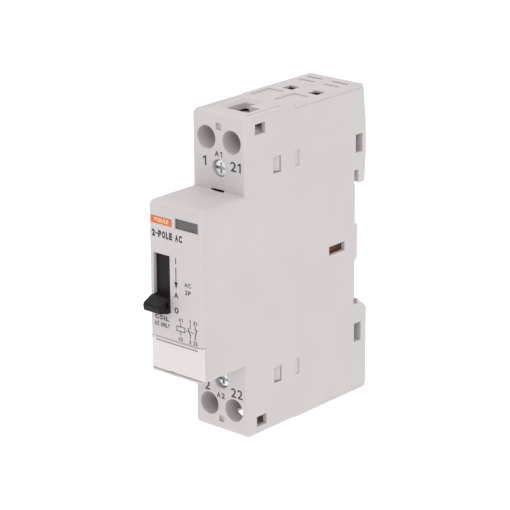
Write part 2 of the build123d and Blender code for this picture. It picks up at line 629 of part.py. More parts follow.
# --- Contact carrier ----------------------------------------------------------------------
FOOT_Y = (ARMATURE_Y - ARMATURE_THICKNESS - 1.4, ARMATURE_Y - ARMATURE_THICKNESS)
NO_TIP_Y = CONTACT_Y - STROKE - TOUCH_GAP          # rear face of the moving tip, open
NO_BRIDGE_Y = NO_TIP_Y - TIP_THICKNESS             # rear face of the bridge
NO_SPRING_Y = NO_BRIDGE_Y - BRIDGE_THICKNESS
NC_TIP_Y = CONTACT_Y + TOUCH_GAP                   # front face of the moving tip, closed
NC_BRIDGE_Y = NC_TIP_Y + TIP_THICKNESS             # front face of the bridge
NC_SPRING_Y = NC_BRIDGE_Y + BRIDGE_THICKNESS
SPRING_ROOM = 4.3
BAR_DEPTH = 1.2
NO_BARS = ((NO_SPRING_Y - SPRING_ROOM - BAR_DEPTH, NO_SPRING_Y - SPRING_ROOM),
           (NO_BRIDGE_Y + TOUCH_GAP, NO_BRIDGE_Y + TOUCH_GAP + BAR_DEPTH))
NC_BARS = ((NC_BRIDGE_Y - OVERTRAVEL - BAR_DEPTH, NC_BRIDGE_Y - OVERTRAVEL),
           (NC_SPRING_Y + SPRING_ROOM, NC_SPRING_Y + SPRING_ROOM + BAR_DEPTH))
FINGER_Y = ARM_END_Y - ARM_TIP_RADIUS - TOUCH_GAP  # face that pushes the flag's arm
FINGER_THICKNESS = 0.8
FINGER_X = 1.9
FINGER_Z = 11.6
FOOT_X = 6.8
FOOT_Z = 16.6
STEM_Z = 6.0                   # half height of the carrier's web behind the bridges
STEM_FRONT_Y = -50.0

with BuildPart() as contact_carrier:
    side_profile(
        [
            (FOOT_Y[0], -STEM_Z),
            (FOOT_Y[0], STEM_Z),
            (STEM_FRONT_Y + 3.0, STEM_Z),
            (STEM_FRONT_Y - 3.0, FINGER_Z + 1.8),
            (FINGER_Y - FINGER_THICKNESS, FINGER_Z + 1.8),
            (FINGER_Y - FINGER_THICKNESS, FINGER_Z - 0.2),
            (STEM_FRONT_Y, STEM_Z - 4.0),
            (STEM_FRONT_Y, -STEM_Z),
        ],
        (-WEB_HALF, WEB_HALF),
    )
    block((-FOOT_X, FOOT_X), FOOT_Y, (-FOOT_Z, FOOT_Z))
    for side, bars in ((-1, NO_BARS), (1, NC_BARS)):
        for bar in bars:
            block(both_signs(WEB_HALF, STRUT_X, side), bar, (-BAR_HALF_Z, BAR_HALF_Z))
        block(both_signs(STRUT_X, STRUT_X + STRUT_THICKNESS, side), (bars[0][0], bars[1][1]),
              (-BAR_HALF_Z, BAR_HALF_Z))
    block((WEB_HALF, FINGER_X), (FINGER_Y - FINGER_THICKNESS, FINGER_Y),
          (FINGER_Z, ARM_END_Z + 2 * TOUCH_GAP))
write(contact_carrier, "contact_carrier")


BRIDGE_HALF_WIDTH = 2.1
BRIDGE_CHAMFER = 0.6
DIMPLE_RADIUS = 0.5


def bridge(side, front_y):
    """A contact bridge with a locating dimple hole for its spring."""
    x = side * POLE_X
    with BuildPart() as piece:
        block((x - BRIDGE_HALF_WIDTH, x + BRIDGE_HALF_WIDTH), (front_y, front_y + BRIDGE_THICKNESS),
              (-BRIDGE_HALF_LENGTH, BRIDGE_HALF_LENGTH))
        chamfer(piece.edges().filter_by(Axis.Y), BRIDGE_CHAMFER)
        round_bar(x, 0, DIMPLE_RADIUS, (front_y, front_y + BRIDGE_THICKNESS), mode=Mode.SUBTRACT)
    return piece


def tip_pair(side, front_y):
    """Two contact tips, one towards each end of the module."""
    with BuildPart() as piece:
        for end in ENDS:
            round_bar(side * POLE_X, end * TIP_Z, TIP_RADIUS, (front_y, front_y + TIP_THICKNESS))
    return piece


def spring_sleeve(x, z, radius, wire, y_span):
    """The room that a coil spring fills, as a hollow sleeve."""
    with BuildPart() as piece:
        round_bar(x, z, radius, y_span)
        round_bar(x, z, radius - wire, y_span, mode=Mode.SUBTRACT)
    return piece


write(bridge(-1, NO_SPRING_Y), "bridge_no")
write(bridge(1, NC_BRIDGE_Y), "bridge_nc")
write(tip_pair(-1, NO_BRIDGE_Y), "bridge_tips_no")
write(tip_pair(1, NC_TIP_Y), "bridge_tips_nc")
SPRING_RADIUS = 1.7
SPRING_WIRE = 0.4
SPRING_MARGIN = 0.2            # what is left of a spring's room when its joint is at its limit
SPRING_REST = SPRING_ROOM - OVERTRAVEL - SPRING_MARGIN
write(spring_sleeve(-POLE_X, 0, SPRING_RADIUS, SPRING_WIRE,
                    (NO_BARS[0][1], NO_BARS[0][1] + SPRING_REST)), "contact_spring_no")
write(spring_sleeve(POLE_X, 0, SPRING_RADIUS, SPRING_WIRE,
                    (NC_BARS[1][0] - SPRING_REST, NC_BARS[1][0])), "contact_spring_nc")

# --- Fixed conductors ---------------------------------------------------------------------
SEAT_STRIP_Y = -13.8           # middle of the strip where a wire is clamped against it
SEAT_STRIP_Z = 40.4
STRIP_BEND = 1.0
STRIP_PAST_TIP = 2.0
for (side, end), name in POWER_NAMES.items():
    if side < 0:
        contact_strip_y = CONTACT_Y + TIP_THICKNESS + STRIP_THICKNESS / 2
    else:
        contact_strip_y = CONTACT_Y - TIP_THICKNESS - STRIP_THICKNESS / 2
    with BuildPart() as contact_bar:
        strip(
            [
                (SEAT_STRIP_Y, end * SEAT_STRIP_Z),
                (SEAT_STRIP_Y, end * STRIP_RUN_Z),
                (contact_strip_y, end * STRIP_RUN_Z),
                (contact_strip_y, end * (TIP_Z - STRIP_PAST_TIP)),
            ],
            STRIP_BEND, STRIP_THICKNESS,
            (side * POLE_X - STRIP_WIDTH / 2, side * POLE_X + STRIP_WIDTH / 2),
        )
    write(contact_bar, f"contact_bar_{name}")

with BuildPart() as fixed_tips:
    for side, start in ((-1, CONTACT_Y), (1, CONTACT_Y - TIP_THICKNESS)):
        for end in ENDS:
            round_bar(side * POLE_X, end * TIP_Z, TIP_RADIUS, (start, start + TIP_THICKNESS))
write(fixed_tips, "fixed_tips")

# --- Power terminals ----------------------------------------------------------------------
HEAD_Y = (-26.5, -24.1)
SHANK_END_Y = -14.45
CAGE_Y = (-18.6, -6.6)
CAGE_FRONT_WALL = 2.6
CAGE_REAR_WALL = 1.2
CAGE_Z = (31.9, 39.6)
CAGE_HALF_X = 2.9
CAGE_SIDE_WALL = 0.6
CAGE_CHAMFER = 0.4
POWER_HEAD_FILLET = 0.4
POWER_SLOT_DEPTH = 1.2
SLOT_HALF = 0.4
CROSS_HALF = 0.35
CROSS_REACH = 0.62             # length of the cross recess against the head's radius


def slotted_head(x, z, radius, front_y, depth):
    """Cut a slot and a shorter cross recess into a screw head."""
    reach = radius * CROSS_REACH
    block((x - radius, x + radius), (front_y, front_y + depth), (z - SLOT_HALF, z + SLOT_HALF),
          mode=Mode.SUBTRACT)
    block((x - CROSS_HALF, x + CROSS_HALF), (front_y, front_y + depth), (z - reach, z + reach),
          mode=Mode.SUBTRACT)


for (side, end), name in POWER_NAMES.items():
    x = side * POLE_X
    z = end * TUNNEL_Z
    with BuildPart() as power_screw:
        round_bar(x, z, POWER_HEAD_RADIUS, HEAD_Y)
        fillet(power_screw.faces().sort_by(Axis.Y)[0].edges(), POWER_HEAD_FILLET)
        round_bar(x, z, POWER_SHANK_RADIUS, (HEAD_Y[1], SHANK_END_Y))
        slotted_head(x, z, POWER_HEAD_RADIUS, HEAD_Y[0], POWER_SLOT_DEPTH)
    write(power_screw, f"power_screw_{name}")
    with BuildPart() as clamp_cage:
        block((x - CAGE_HALF_X, x + CAGE_HALF_X), CAGE_Y, both_signs(*CAGE_Z, end))
        chamfer(clamp_cage.edges().filter_by(Axis.Z), CAGE_CHAMFER)
        block((x - CAGE_HALF_X + CAGE_SIDE_WALL, x + CAGE_HALF_X - CAGE_SIDE_WALL),
              (CAGE_Y[0] + CAGE_FRONT_WALL, CAGE_Y[1] - CAGE_REAR_WALL),
              both_signs(*CAGE_Z, end), mode=Mode.SUBTRACT)
        round_bar(x, z, POWER_SHANK_RADIUS + THREAD_CLEARANCE,
                  (CAGE_Y[0], CAGE_Y[0] + CAGE_FRONT_WALL), mode=Mode.SUBTRACT)
    write(clamp_cage, f"clamp_cage_{name}")

# --- Coil terminals -----------------------------------------------------------------------
COIL_HEAD_Y = (-42.6, -40.9)
COIL_HEAD_FILLET = 0.3
COIL_SLOT_DEPTH = 0.9
COIL_SHANK_RADIUS = 1.4
COIL_SHANK_END_Y = -33.5
COIL_PLATE_HALF = 1.9
COIL_CLAMP_Y = (-40.9, -40.1)
COIL_CLAMP_Z = (26.2, 31.2)
COIL_CLAMP_CHAMFER = 0.5
COIL_SEAT_Y = (-37.6, -36.2)
COIL_SEAT_Z = (25.6, 31.4)
COIL_TAIL_HALF = 0.6
COIL_TAIL_END_Y = -33.0
COIL_TAIL_Z = (25.6, 26.2)

for end, name in COIL_NAMES.items():
    z = end * COIL_SCREW_Z
    with BuildPart() as coil_screw:
        round_bar(0, z, COIL_HEAD_RADIUS, COIL_HEAD_Y)
        fillet(coil_screw.faces().sort_by(Axis.Y)[0].edges(), COIL_HEAD_FILLET)
        round_bar(0, z, COIL_SHANK_RADIUS, (COIL_HEAD_Y[1], COIL_SHANK_END_Y))
        slotted_head(0, z, COIL_HEAD_RADIUS, COIL_HEAD_Y[0], COIL_SLOT_DEPTH)
    write(coil_screw, f"coil_screw_{name}")
    with BuildPart() as coil_clamp:
        block((-COIL_PLATE_HALF, COIL_PLATE_HALF), COIL_CLAMP_Y, both_signs(*COIL_CLAMP_Z, end))
        chamfer(coil_clamp.edges().filter_by(Axis.Y), COIL_CLAMP_CHAMFER)
        round_bar(0, z, COIL_SHANK_RADIUS + THREAD_CLEARANCE, COIL_CLAMP_Y, mode=Mode.SUBTRACT)
    write(coil_clamp, f"coil_clamp_{name}")
    with BuildPart() as coil_terminal:
        block((-COIL_PLATE_HALF, COIL_PLATE_HALF), COIL_SEAT_Y, both_signs(*COIL_SEAT_Z, end))
        round_bar(0, z, COIL_SHANK_RADIUS + THREAD_CLEARANCE, COIL_SEAT_Y, mode=Mode.SUBTRACT)
        block((-COIL_TAIL_HALF, COIL_TAIL_HALF), (COIL_SEAT_Y[1], COIL_TAIL_END_Y),
              both_signs(*COIL_TAIL_Z, end))
    write(coil_terminal, f"coil_terminal_{name}")

# --- Magnet and coil ----------------------------------------------------------------------
CORE_BACK_Y = (-REAR_WALL - CORE_BACK, -REAR_WALL)
BOBBIN_X = 4.0
BOBBIN_Z = 4.5
FLANGE = 0.8
FLANGE_HALF_X = 7.3
FLANGE_HALF_Z = 8.8
BOBBIN_Y = (-18.6, CORE_BACK_Y[0])
CENTRE_LEG_HALF = 3.6
OUTER_LEG_Z = 9.0
BOBBIN_GAP = 0.05
WINDING_GAP = (0.3, 0.5)       # how far the winding stays inside the flanges, in X and Z
WINDING_RADIUS = 2.6

with BuildPart() as fixed_core:
    block((-CORE_HALF_X, CORE_HALF_X), CORE_BACK_Y, (-CORE_HALF_Z, CORE_HALF_Z))
    block((-CORE_HALF_X, CORE_HALF_X), (LEG_END_Y, CORE_BACK_Y[0]),
          (-CENTRE_LEG_HALF, CENTRE_LEG_HALF))
    for end in ENDS:
        block((-CORE_HALF_X, CORE_HALF_X), (LEG_END_Y, CORE_BACK_Y[0]),
              both_signs(OUTER_LEG_Z, CORE_HALF_Z, end))
write(fixed_core, "fixed_core")

with BuildPart() as armature:
    block((-CORE_HALF_X, CORE_HALF_X), (ARMATURE_Y - ARMATURE_THICKNESS, ARMATURE_Y),
          (-CORE_HALF_Z, CORE_HALF_Z))
write(armature, "armature")

with BuildPart() as coil_bobbin:
    block((-BOBBIN_X, BOBBIN_X), BOBBIN_Y, (-BOBBIN_Z, BOBBIN_Z))
    for start in (BOBBIN_Y[0], BOBBIN_Y[1] - FLANGE):
        block((-FLANGE_HALF_X, FLANGE_HALF_X), (start, start + FLANGE),
              (-FLANGE_HALF_Z, FLANGE_HALF_Z))
    block((-CORE_HALF_X - BOBBIN_GAP, CORE_HALF_X + BOBBIN_GAP), BOBBIN_Y,
          (-CENTRE_LEG_HALF - BOBBIN_GAP, CENTRE_LEG_HALF + BOBBIN_GAP), mode=Mode.SUBTRACT)
write(coil_bobbin, "coil_bobbin")

with BuildPart() as coil_winding:
    with BuildSketch(front_plane(BOBBIN_Y[1] - FLANGE)):
        RectangleRounded(2 * (FLANGE_HALF_X - WINDING_GAP[0]), 2 * (FLANGE_HALF_Z - WINDING_GAP[1]),
                         WINDING_RADIUS)
        Rectangle(2 * BOBBIN_X, 2 * BOBBIN_Z, mode=Mode.SUBTRACT)
    extrude(amount=BOBBIN_Y[1] - BOBBIN_Y[0] - 2 * FLANGE)
write(coil_winding, "coil_winding")

RETURN_Z = 14.6
RETURN_RADIUS = 1.9
RETURN_WIRE = 0.5
RETURN_Y = (FOOT_Y[1] + STROKE + SPRING_MARGIN, POST_Y)
with BuildPart() as return_springs:
    for end in ENDS:
        round_bar(0, end * RETURN_Z, RETURN_RADIUS, RETURN_Y)
        round_bar(0, end * RETURN_Z, RETURN_RADIUS - RETURN_WIRE, RETURN_Y, mode=Mode.SUBTRACT)
write(return_springs, "return_springs")

# --- Rectifier board and leads ------------------------------------------------------------
BOARD_X = 7.4
BOARD_Y = (-22.0, -2.5)
BOARD_Z = (18.2, 19.4)
DIODE_X = -5.2
DIODE_Y = (-18.6, -14.0, -9.4, -4.8)
DIODE_SIZE = (2.8, 2.2, 2.1)
TALL_TOP_Z = BOARD_Z[1] + 3.6  # top of the varistor and of the capacitor
VARISTOR_X = (-1.6, 5.6)
VARISTOR_Y = (-19.5, -15.7)
VARISTOR_RADIUS = 1.4
CAPACITOR_X = (-1.6, 5.8)
CAPACITOR_Y = (-12.0, -6.0)
CAPACITOR_RADIUS = 0.5

with BuildPart() as coil_board:
    block((-BOARD_X, BOARD_X), BOARD_Y, BOARD_Z)
write(coil_board, "coil_board")

with BuildPart() as board_diodes:
    with Locations(*((DIODE_X, y, BOARD_Z[1] + DIODE_SIZE[2] / 2) for y in DIODE_Y)):
        Box(*DIODE_SIZE)
write(board_diodes, "board_diodes")

with BuildPart() as board_varistor:
    block(VARISTOR_X, VARISTOR_Y, (BOARD_Z[1], TALL_TOP_Z))
    fillet(board_varistor.edges().filter_by(Axis.Y), VARISTOR_RADIUS)
write(board_varistor, "board_varistor")

with BuildPart() as board_capacitor:
    block(CAPACITOR_X, CAPACITOR_Y, (BOARD_Z[1], TALL_TOP_Z))
    fillet(board_capacitor.edges().filter_by(Axis.Z), CAPACITOR_RADIUS)
write(board_capacitor, "board_capacitor")


def lead(points, corner_radius, wire_radius):
    """An insulated lead along straight runs that are joined by arcs."""
    with BuildPart() as piece:
        with BuildLine() as route:
            FilletPolyline(*points, radius=corner_radius)
        with BuildSketch(Plane(origin=points[0], z_dir=route.line % 0)):
            Circle(wire_radius)
        sweep(path=route.line)
    return piece


LEAD_RADIUS = 0.45
LEAD_BEND = 1.6
LEAD_START = (0, -32.9, 25.9)  # at the coil terminal, mirrored for the lower one
LEAD_A1_DROP_Y = -29.0
LEAD_A1_Z = 21.0
LEAD_A2_DROP_Y = -29.4
LEAD_A2_Z = -20.5
LEAD_A2_TURN = (5.4, -21.0)    # where the lower lead turns towards the coil
LEAD_A2_END_Z = -10.0
write(
    lead(
        [
            LEAD_START,
            (0, LEAD_A1_DROP_Y, LEAD_START[2]),
            (0, LEAD_A1_DROP_Y, LEAD_A1_Z),
            (0, BOARD_Y[0] - 0.6, LEAD_A1_Z),
        ],
        LEAD_BEND, LEAD_RADIUS,
    ),
    "coil_lead_A1",
)
write(
    lead(
        [
            (0, LEAD_START[1], -LEAD_START[2]),
            (0, LEAD_A2_DROP_Y, -LEAD_START[2]),
            (0, LEAD_A2_DROP_Y, LEAD_A2_Z),
            (0, LEAD_A2_TURN[1], LEAD_A2_Z),
            (*LEAD_A2_TURN, LEAD_A2_Z),
            (*LEAD_A2_TURN, LEAD_A2_END_Z),
        ],
        LEAD_BEND, LEAD_RADIUS,
    ),
    "coil_lead_A2",
)

# --- Rail spring --------------------------------------------------------------------------
RAIL_EDGE_Z = 17.5
RAIL_WIRE_RADIUS = 0.3
RAIL_WIRE_Y = 0.55
RAIL_WIRE_HALF = 7.9
RAIL_WIRE_GAP = 0.02
with BuildPart() as rail_spring:
    cross_bar(RAIL_WIRE_Y, RAIL_EDGE_Z + RAIL_WIRE_RADIUS + RAIL_WIRE_GAP, RAIL_WIRE_RADIUS,
              (-RAIL_WIRE_HALF, RAIL_WIRE_HALF))
write(rail_spring, "rail_spring")
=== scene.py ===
"""Looks of the DIN rail contactor: finishes, printed marks, coil springs, floor, light and camera.

Frame, as packed: X across the module, -Y towards the front, +Z up, in metres. Y = 0 is the face
that rests on the rail, and Z = 0 is the rail's centre line.
"""
import json
from math import cos, pi, radians, sin

import bmesh
import bpy
from mathutils import Matrix, Vector


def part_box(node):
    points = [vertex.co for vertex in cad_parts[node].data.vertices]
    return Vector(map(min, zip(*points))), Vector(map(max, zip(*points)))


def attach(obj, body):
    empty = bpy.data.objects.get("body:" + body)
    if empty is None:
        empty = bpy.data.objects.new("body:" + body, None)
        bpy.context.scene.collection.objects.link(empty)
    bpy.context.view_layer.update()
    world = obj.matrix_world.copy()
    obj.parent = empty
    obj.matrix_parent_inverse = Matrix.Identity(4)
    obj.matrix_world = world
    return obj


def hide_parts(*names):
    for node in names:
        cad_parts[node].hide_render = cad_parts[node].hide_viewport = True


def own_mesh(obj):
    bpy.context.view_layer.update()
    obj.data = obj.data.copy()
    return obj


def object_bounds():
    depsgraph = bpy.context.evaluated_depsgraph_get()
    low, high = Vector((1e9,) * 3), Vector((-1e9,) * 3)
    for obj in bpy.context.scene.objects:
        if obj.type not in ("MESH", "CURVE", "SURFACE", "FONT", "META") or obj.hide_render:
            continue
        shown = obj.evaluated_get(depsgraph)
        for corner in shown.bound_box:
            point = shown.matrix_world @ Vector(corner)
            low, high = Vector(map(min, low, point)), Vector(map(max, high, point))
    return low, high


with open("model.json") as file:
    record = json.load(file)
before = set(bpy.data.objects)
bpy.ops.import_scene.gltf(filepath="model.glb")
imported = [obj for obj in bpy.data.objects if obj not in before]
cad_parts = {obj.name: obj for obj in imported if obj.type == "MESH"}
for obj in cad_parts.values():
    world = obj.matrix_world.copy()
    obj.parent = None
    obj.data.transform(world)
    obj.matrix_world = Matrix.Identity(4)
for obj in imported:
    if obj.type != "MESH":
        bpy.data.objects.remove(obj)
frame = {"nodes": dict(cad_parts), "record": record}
CAD_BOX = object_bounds()
NODES = frame["nodes"]
MM = 0.001


# --- Node helpers -------------------------------------------------------------------------
TEXTURE_SPAN = (0.3, 0.7)      # the part of a texture's values that is used; the rest is clamped
BEVEL_SAMPLES = 6


def map_range(tree, value, source, target):
    """A value taken from the span source to the span target."""
    node = tree.nodes.new("ShaderNodeMapRange")
    tree.links.new(value, node.inputs["Value"])
    for key, number in zip(("From Min", "From Max", "To Min", "To Max"), (*source, *target)):
        node.inputs[key].default_value = number
    return node.outputs["Result"]


class Finish:
    """A material with a Principled shader, and short ways to add and join nodes."""

    def __init__(self, name, colour, roughness, metallic=0.0):
        self.material = bpy.data.materials.new(name)
        self.material.use_nodes = True
        self.tree = self.material.node_tree
        self.shader = self.tree.nodes["Principled BSDF"]
        self.shader.inputs["Metallic"].default_value = metallic
        self.shader.inputs["Roughness"].default_value = roughness
        self.shader.inputs["Base Color"].default_value = (*colour, 1)
        self.coordinates = self.add("ShaderNodeTexCoord").outputs["Object"]

    def add(self, kind, settings=None, **inputs):
        """A node with its settings, and its inputs by name: a socket is joined, a value is set."""
        node = self.tree.nodes.new(kind)
        for key, value in (settings or {}).items():
            setattr(node, key, value)
        for key, value in inputs.items():
            self.set(node.inputs[key.replace("_", " ")], value)
        return node

    def set(self, socket, value):
        if isinstance(value, bpy.types.NodeSocket):
            self.tree.links.new(value, socket)
        else:
            socket.default_value = value

    def noise(self, size, detail=2.0, at=None):
        """Noise whose lumps are about size metres across."""
        node = self.add("ShaderNodeTexNoise", Scale=1 / size, Detail=detail,
                        Vector=at or self.coordinates)
        return node.outputs["Fac"]

    def spread(self, value, low, high):
        """A texture value spread over the range from low to high."""
        return map_range(self.tree, value, TEXTURE_SPAN, (low, high))

    def blend(self, factor, low, high):
        """A colour between two, by factor."""
        node = self.add("ShaderNodeMix", {"data_type": "RGBA"})
        self.set(node.inputs["Factor"], factor)
        self.set(node.inputs["A"], low if isinstance(low, bpy.types.NodeSocket) else (*low, 1))
        self.set(node.inputs["B"], high if isinstance(high, bpy.types.NodeSocket) else (*high, 1))
        return node.outputs["Result"]

    def soft_edges(self, radius):
        """Normals rounded over the piece's edges."""
        return self.add("ShaderNodeBevel", {"samples": BEVEL_SAMPLES}, Radius=radius).outputs["Normal"]

    def bump(self, height, depth, normal=None, strength=1.0):
        """Relief of a depth in metres, over another normal if one is given."""
        node = self.add("ShaderNodeBump", Height=height, Distance=depth, Strength=strength)
        if normal is not None:
            self.set(node.inputs["Normal"], normal)
        return node.outputs["Normal"]

    def bands(self, direction, pitch, distortion=0.0):
        """Parallel bands across X, Y or Z, pitch metres apart."""
        node = self.add("ShaderNodeTexWave", {"bands_direction": direction},
                        Scale=pi / (10 * pitch), Distortion=distortion, Detail=0.0,
                        Vector=self.coordinates)
        return node.outputs["Fac"]

    def use(self, **sockets):
        """Joins outputs to the shader's inputs by name."""
        for key, value in sockets.items():
            self.set(self.shader.inputs[key.replace("_", " ")], value)
        return self.material


def scaled(colour, factor):
    """A lighter or darker colour."""
    return tuple(min(1.0, part * factor) for part in colour)


EDGE_SPAN = (1.0, 0.75)        # cosine of the turn of the normal, on a face and on a full edge


def edge_wear_and_highlight(finish, radius):
    """0 on flat faces and towards 1 on edges, from how far the rounded normal turns away; the finishes
    lighten edges by it, partly as rubbed wear and partly as a painted highlight.
    """
    flat = finish.add("ShaderNodeNewGeometry").outputs["Normal"]
    dot = finish.add("ShaderNodeVectorMath", {"operation": "DOT_PRODUCT"})
    finish.set(dot.inputs[0], finish.soft_edges(radius))
    finish.set(dot.inputs[1], flat)
    return map_range(finish.tree, dot.outputs["Value"], EDGE_SPAN, (0.0, 1.0))


# --- Finishes -----------------------------------------------------------------------------
def moulded(name, colour, roughness, grain=0.18 * MM, depth=0.006 * MM, edge=0.12 * MM,
            edge_wear_and_highlight_tone=1.12, gloss=0.5):
    """Injection-moulded plastic: spark-eroded grain, faint sinks and clouds, and edges lightened mostly
    as a painted highlight and partly as rubbed wear.
    """
    finish = Finish(name, colour, roughness)
    finish.shader.inputs["Specular IOR Level"].default_value = gloss
    clouds = finish.noise(14 * MM, detail=3.0)
    flecks = finish.noise(1.1 * MM, detail=4.0)
    body = finish.blend(finish.spread(clouds, 0.0, 1.0), scaled(colour, 0.975), scaled(colour, 1.02))
    body = finish.blend(finish.spread(flecks, 0.0, 0.35), body, scaled(colour, 0.95))
    # Lighter edges: mostly a painted highlight where rounded edges would catch the light, partly rubbed
    # wear.
    body = finish.blend(edge_wear_and_highlight(finish, 1.5 * edge), body, scaled(colour, edge_wear_and_highlight_tone))
    relief = finish.bump(clouds, 0.05 * MM, finish.soft_edges(edge), strength=0.35)
    relief = finish.bump(finish.noise(grain, detail=5.0), depth, relief)
    shine = finish.spread(finish.noise(5 * MM, detail=4.0), roughness - 0.06, roughness + 0.06)
    return finish.use(Base_Color=body, Roughness=shine, Normal=relief)


def plated(name, colour, roughness):
    """Plated steel: drawn scratches, slightly patchy passivation, and edges lightened partly as rubbed
    wear and partly as a painted highlight.
    """
    finish = Finish(name, colour, roughness, metallic=1.0)
    stretched = finish.add("ShaderNodeMapping", Vector=finish.coordinates)
    stretched.inputs["Scale"].default_value = (1.0, 0.08, 1.0)
    scratches = finish.noise(0.12 * MM, detail=6.0, at=stretched.outputs["Vector"])
    patches = finish.noise(1.6 * MM, detail=4.0)
    body = finish.blend(finish.spread(patches, 0.0, 1.0), scaled(colour, 0.86), scaled(colour, 1.05))
    # Lighter edges: rubbed plating and a painted highlight.
    body = finish.blend(edge_wear_and_highlight(finish, 0.12 * MM), body, scaled(colour, 1.2))
    shine = finish.spread(scratches, roughness - 0.08, roughness + 0.12)
    relief = finish.bump(scratches, 0.004 * MM, finish.soft_edges(0.08 * MM))
    return finish.use(Base_Color=body, Roughness=shine, Normal=relief)


def turned(name, colour, roughness):
    """A screw's plated head and shank: turning marks round its own axis, and patchy plating."""
    finish = Finish(name, colour, roughness, metallic=1.0)
    generated = finish.add("ShaderNodeTexCoord").outputs["Generated"]
    centred = finish.add("ShaderNodeVectorMath", {"operation": "SUBTRACT"})
    finish.set(centred.inputs[0], generated)
    centred.inputs[1].default_value = (0.5, 0.0, 0.5)
    rings = finish.add("ShaderNodeTexWave", {"wave_type": "RINGS", "rings_direction": "Y"},
                       Scale=9.0, Distortion=0.4, Detail=2.0, Detail_Scale=3.0,
                       Vector=centred.outputs["Vector"]).outputs["Fac"]
    patches = finish.noise(1.2 * MM, detail=4.0)
    body = finish.blend(finish.spread(patches, 0.0, 1.0), scaled(colour, 0.84), scaled(colour, 1.06))
    # Lighter edges: rubbed plating and a painted highlight.
    body = finish.blend(edge_wear_and_highlight(finish, 0.15 * MM), body, scaled(colour, 1.25))
    shine = finish.spread(rings, roughness - 0.05, roughness + 0.1)
    relief = finish.bump(rings, 0.006 * MM, finish.soft_edges(0.1 * MM))
    return finish.use(Base_Color=body, Roughness=shine, Normal=relief)


def laminated(name, colour, roughness):
    """Stacked core sheets, with a fine dark line between each pair."""
    finish = Finish(name, colour, roughness, metallic=0.9)
    lines = finish.bands("X", pitch=0.5 * MM)
    stains = finish.noise(2.5 * MM, detail=5.0)
    body = finish.blend(finish.spread(stains, 0.0, 1.0), scaled(colour, 0.75), scaled(colour, 1.15))
    body = finish.blend(finish.spread(lines, 0.0, 0.6), scaled(colour, 0.4), body)
    relief = finish.bump(lines, 0.03 * MM, finish.soft_edges(0.06 * MM))
    shine = finish.spread(stains, roughness - 0.08, roughness + 0.1)
    return finish.use(Base_Color=body, Roughness=shine, Normal=relief)


def rolled(name, colour, roughness):
    """Rolled copper or silver: lengthwise streaks and a light tarnish."""
    finish = Finish(name, colour, roughness, metallic=1.0)
    stretched = finish.add("ShaderNodeMapping", Vector=finish.coordinates)
    stretched.inputs["Scale"].default_value = (1.0, 0.1, 0.1)
    streaks = finish.noise(0.15 * MM, detail=5.0, at=stretched.outputs["Vector"])
    tarnish = finish.noise(3.0 * MM, detail=5.0)
    body = finish.blend(finish.spread(tarnish, 0.0, 1.0), scaled(colour, 0.72), scaled(colour, 1.08))
    shine = finish.spread(streaks, roughness - 0.08, roughness + 0.14)
    relief = finish.bump(streaks, 0.004 * MM, finish.soft_edges(0.1 * MM))
    return finish.use(Base_Color=body, Roughness=shine, Normal=relief)


def wound(name, colour, roughness):
    """Enamelled wire in close turns, with painted shade in the grooves between the turns."""
    finish = Finish(name, colour, roughness, metallic=0.6)
    turns = finish.bands("Y", pitch=0.18 * MM, distortion=0.3)
    shades = finish.noise(1.5 * MM, detail=3.0)
    body = finish.blend(finish.spread(shades, 0.0, 1.0), scaled(colour, 0.8), scaled(colour, 1.15))
    # Dark bands between the turns: painted shade in the grooves between the wires.
    body = finish.blend(turns, scaled(colour, 0.35), body)
    relief = finish.bump(turns, 0.08 * MM)
    shine = finish.spread(shades, roughness - 0.05, roughness + 0.1)
    return finish.use(Base_Color=body, Roughness=shine, Normal=relief)


def paper(name, colour, roughness):
    """Uncoated card with its fibres."""
    finish = Finish(name, colour, roughness)
    fibres = finish.noise(0.35 * MM, detail=8.0)
    body = finish.blend(finish.spread(fibres, 0.0, 1.0), scaled(colour, 0.94), scaled(colour, 1.02))
    shine = finish.spread(fibres, roughness - 0.04, roughness + 0.04)
    return finish.use(Base_Color=body, Roughness=shine, Normal=finish.bump(fibres, 0.01 * MM))


def board(name, colour, roughness):
    """Solder mask over a woven glass board, with paler tracks under it."""
    finish = Finish(name, colour, roughness)
    weave = finish.bands("X", pitch=0.4 * MM)
    across = finish.bands("Y", pitch=0.4 * MM)
    woven = finish.add("ShaderNodeMath", {"operation": "MULTIPLY"})
    finish.set(woven.inputs[0], weave)
    finish.set(woven.inputs[1], across)
    tracks = finish.bands("X", pitch=2.6 * MM, distortion=2.0)
    body = finish.blend(woven.outputs["Value"], scaled(colour, 0.8), scaled(colour, 1.15))
    body = finish.blend(finish.spread(tracks, 0.0, 0.5), body, scaled(colour, 1.7))
    shine = finish.spread(finish.noise(0.8 * MM), roughness - 0.05, roughness + 0.1)
    relief = finish.bump(tracks, 0.02 * MM, finish.soft_edges(0.1 * MM))
    return finish.use(Base_Color=body, Roughness=shine, Normal=relief)


def smoked(name, colour, roughness):
    """The clear lens in front of the flag: tinted, polished, with faint flow marks."""
    finish = Finish(name, colour, roughness)
    flow = finish.noise(3.0 * MM, detail=3.0)
    body = finish.blend(finish.spread(flow, 0.0, 1.0), scaled(colour, 0.85), scaled(colour, 1.15))
    finish.shader.inputs["IOR"].default_value = 1.49
    finish.shader.inputs["Transmission Weight"].default_value = 0.35
    shine = finish.spread(finish.noise(0.9 * MM, detail=4.0), roughness - 0.03, roughness + 0.05)
    relief = finish.bump(flow, 0.03 * MM, finish.soft_edges(0.1 * MM))
    return finish.use(Base_Color=body, Roughness=shine, Normal=relief)


def ink(name, colour):
    """Pad-printed ink, a little uneven where the grain of the plastic shows."""
    finish = Finish(name, colour, 0.5)
    cover = finish.noise(0.25 * MM, detail=4.0)
    body = finish.blend(finish.spread(cover, 0.0, 0.5), colour, scaled(colour, 1.9))
    shine = finish.spread(cover, 0.42, 0.62)
    return finish.use(Base_Color=body, Roughness=shine, Normal=finish.bump(cover, 0.004 * MM))


